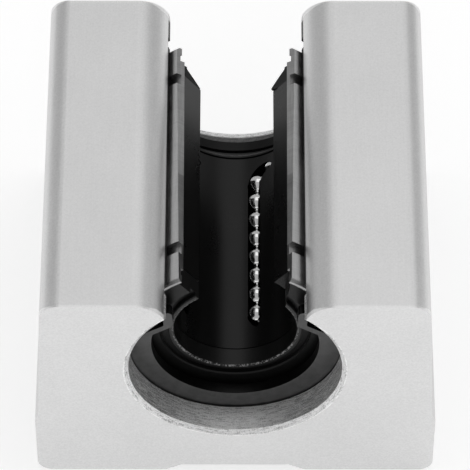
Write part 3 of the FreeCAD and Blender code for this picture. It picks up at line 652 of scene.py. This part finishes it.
def thread_liner(name, centre_x, centre_y):
    """Tapped thread in a hole along Z, as a liner inside the hole's wall.

    With turn angle a from 0 to 2 pi and height h from the thread's start to its end, the
    radius is crest plus (root - crest) times a triangle wave of h / pitch - a / (2 pi), so
    the ridge climbs one pitch each turn. Each point is (centre x + radius cos a,
    centre y + radius sin a, h). The faces look at the hole's axis.
    """
    turns = np.linspace(0.0, FULL_TURN, THREAD_COLUMNS + 1)
    rows = int((THREAD_END - THREAD_START) / THREAD_PITCH * ROWS_PER_PITCH) + 1
    a, h = np.meshgrid(turns, np.linspace(THREAD_START, THREAD_END, rows))
    wave = np.abs(2.0 * ((h / THREAD_PITCH - a / FULL_TURN) % 1.0) - 1.0)
    radius = THREAD_CREST + (THREAD_ROOT - THREAD_CREST) * wave
    points = np.stack([centre_x + radius * np.cos(a), centre_y + radius * np.sin(a), h], axis=-1)
    return patch_mesh(name, [points[None, :, ::-1]])


def build_threads(finish):
    """The four tapped threads in the mounting face."""
    for number, (sx, sy) in enumerate(((1, 1), (-1, 1), (-1, -1), (1, -1)), 1):
        piece = thread_liner(f"mounting_thread_{number}", sx * HOLE_X, sy * HOLE_Y)
        piece.data.materials.append(finish)
        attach(piece, "block")


# ---------------------------------------------------------------- stage

def build_floor():
    """Pale floor, white where the lens or a reflection sees it, with the object's shadow."""
    corners = np.array([[-FLOOR_REACH, -FLOOR_REACH], [FLOOR_REACH, -FLOOR_REACH],
                        [-FLOOR_REACH, FLOOR_REACH], [FLOOR_REACH, FLOOR_REACH]])
    corners = np.column_stack([corners, np.full(4, -FLOOR_DROP)])
    floor = patch_mesh("floor", [corners.reshape(1, 2, 2, 3)])
    f = Finish("pale_floor", {"Roughness": 0.9, "Base Color": (0.85, 0.85, 0.85, 1.0),
                              "Emission Color": (1.0, 1.0, 1.0, 1.0)})
    camera = f.node("ShaderNodeLightPath", output="Is Camera Ray")
    glossy = f.node("ShaderNodeLightPath", output="Is Glossy Ray")
    f.set("Emission Strength", (camera + glossy) * FLOOR_GLOW)
    floor.data.materials.append(f.material)


def build_world():
    """White surroundings for the lens and soft grey light for everything else."""
    world = bpy.data.worlds.new("studio")
    world.use_nodes = True
    bpy.context.scene.world = world
    tree = Tree(world.node_tree.nodes, world.node_tree.links)
    camera = tree.node("ShaderNodeLightPath", output="Is Camera Ray")
    back = tree.nodes["Background"]
    tree.feed(back.inputs["Color"], (1.0, 1.0, 1.0, 1.0))
    tree.feed(back.inputs["Strength"], SOFT_LIGHT + camera * (1.0 - SOFT_LIGHT))


def lamp(name, place, aim, size, power):
    """A rectangular soft box, turned so that its light goes from its place to its aim."""
    light = bpy.data.lights.new(name, "AREA")
    light.shape = "RECTANGLE"
    light.size, light.size_y = size
    light.energy = power
    holder = bpy.data.objects.new(name, light)
    holder.location = place
    dx, dy, dz = np.array(aim) - np.array(place)
    holder.rotation_euler = (math.atan2(math.hypot(dx, dy), -dz), 0.0, math.atan2(-dx, dy))
    bpy.context.scene.collection.objects.link(holder)


def build_lamps():
    """A wide soft box above and weaker ones at the sides and in front."""
    lamp("overhead_box", place=(0.05, 0.24, 0.48), aim=(0.0, 0.0, 0.02), size=(0.4, 0.4),
         power=0.32)
    lamp("left_box", place=(-0.5, 0.04, 0.23), aim=(0.0, 0.0, 0.015), size=(0.4, 0.4),
         power=0.25)
    lamp("right_box", place=(0.5, 0.04, 0.23), aim=(0.0, 0.0, 0.015), size=(0.4, 0.4),
         power=0.31)
    lamp("front_box", place=(0.0, -0.6, 0.2), aim=(0.0, 0.0, 0.01), size=(0.5, 0.3),
         power=0.25)


def build_camera():
    """A long lens at the front, looking down along the shaft."""
    pitch = math.radians(52.28)
    yaw = math.radians(0.098)
    distance = 392.25 * MM
    aim_x, aim_height = 0.36 * MM, 13.69 * MM
    lens = bpy.data.cameras.new("lens")
    lens.sensor_width = 36.0
    lens.lens = 294.8
    lens.clip_start = 0.01
    lens.clip_end = 10.0
    holder = bpy.data.objects.new("lens", lens)
    holder.location = (aim_x, -distance * math.cos(pitch),
                       aim_height + distance * math.sin(pitch))
    holder.rotation_euler = (math.pi / 2.0 - pitch, 0.0, yaw)
    bpy.context.scene.collection.objects.link(holder)
    bpy.context.scene.camera = holder


# ---------------------------------------------------------------- assembly

def dress(nodes, finishes):
    """Give every CAD node the finish that goes with the end of its name."""
    for name, node in nodes.items():
        for ending, material in finishes.items():
            if name.endswith(ending):
                node.data.materials.clear()
                node.data.materials.append(material)


def build():
    """Dress the CAD nodes, add the new pieces and set the stage."""
    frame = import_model()
    steel, rubber, balls = bearing_steel_finish(), seal_finish(), ball_finish()
    dress(frame["nodes"], {
        "housing": aluminium_finish(),
        "bearing_sleeve": steel,
        "ball_retainer": cage_finish(),
        "seal": rubber,
        "retaining_ring": ring_finish(),
        "locking_screw": screw_finish(),
        "row": balls,
        "turn": balls,
    })
    build_sleeve(steel)
    build_front_seal(rubber)
    build_rear_seal(rubber)
    build_threads(thread_finish())
    build_floor()
    build_world()
    build_lamps()
    build_camera()
    bpy.context.scene.view_settings.view_transform = "Standard"


build()
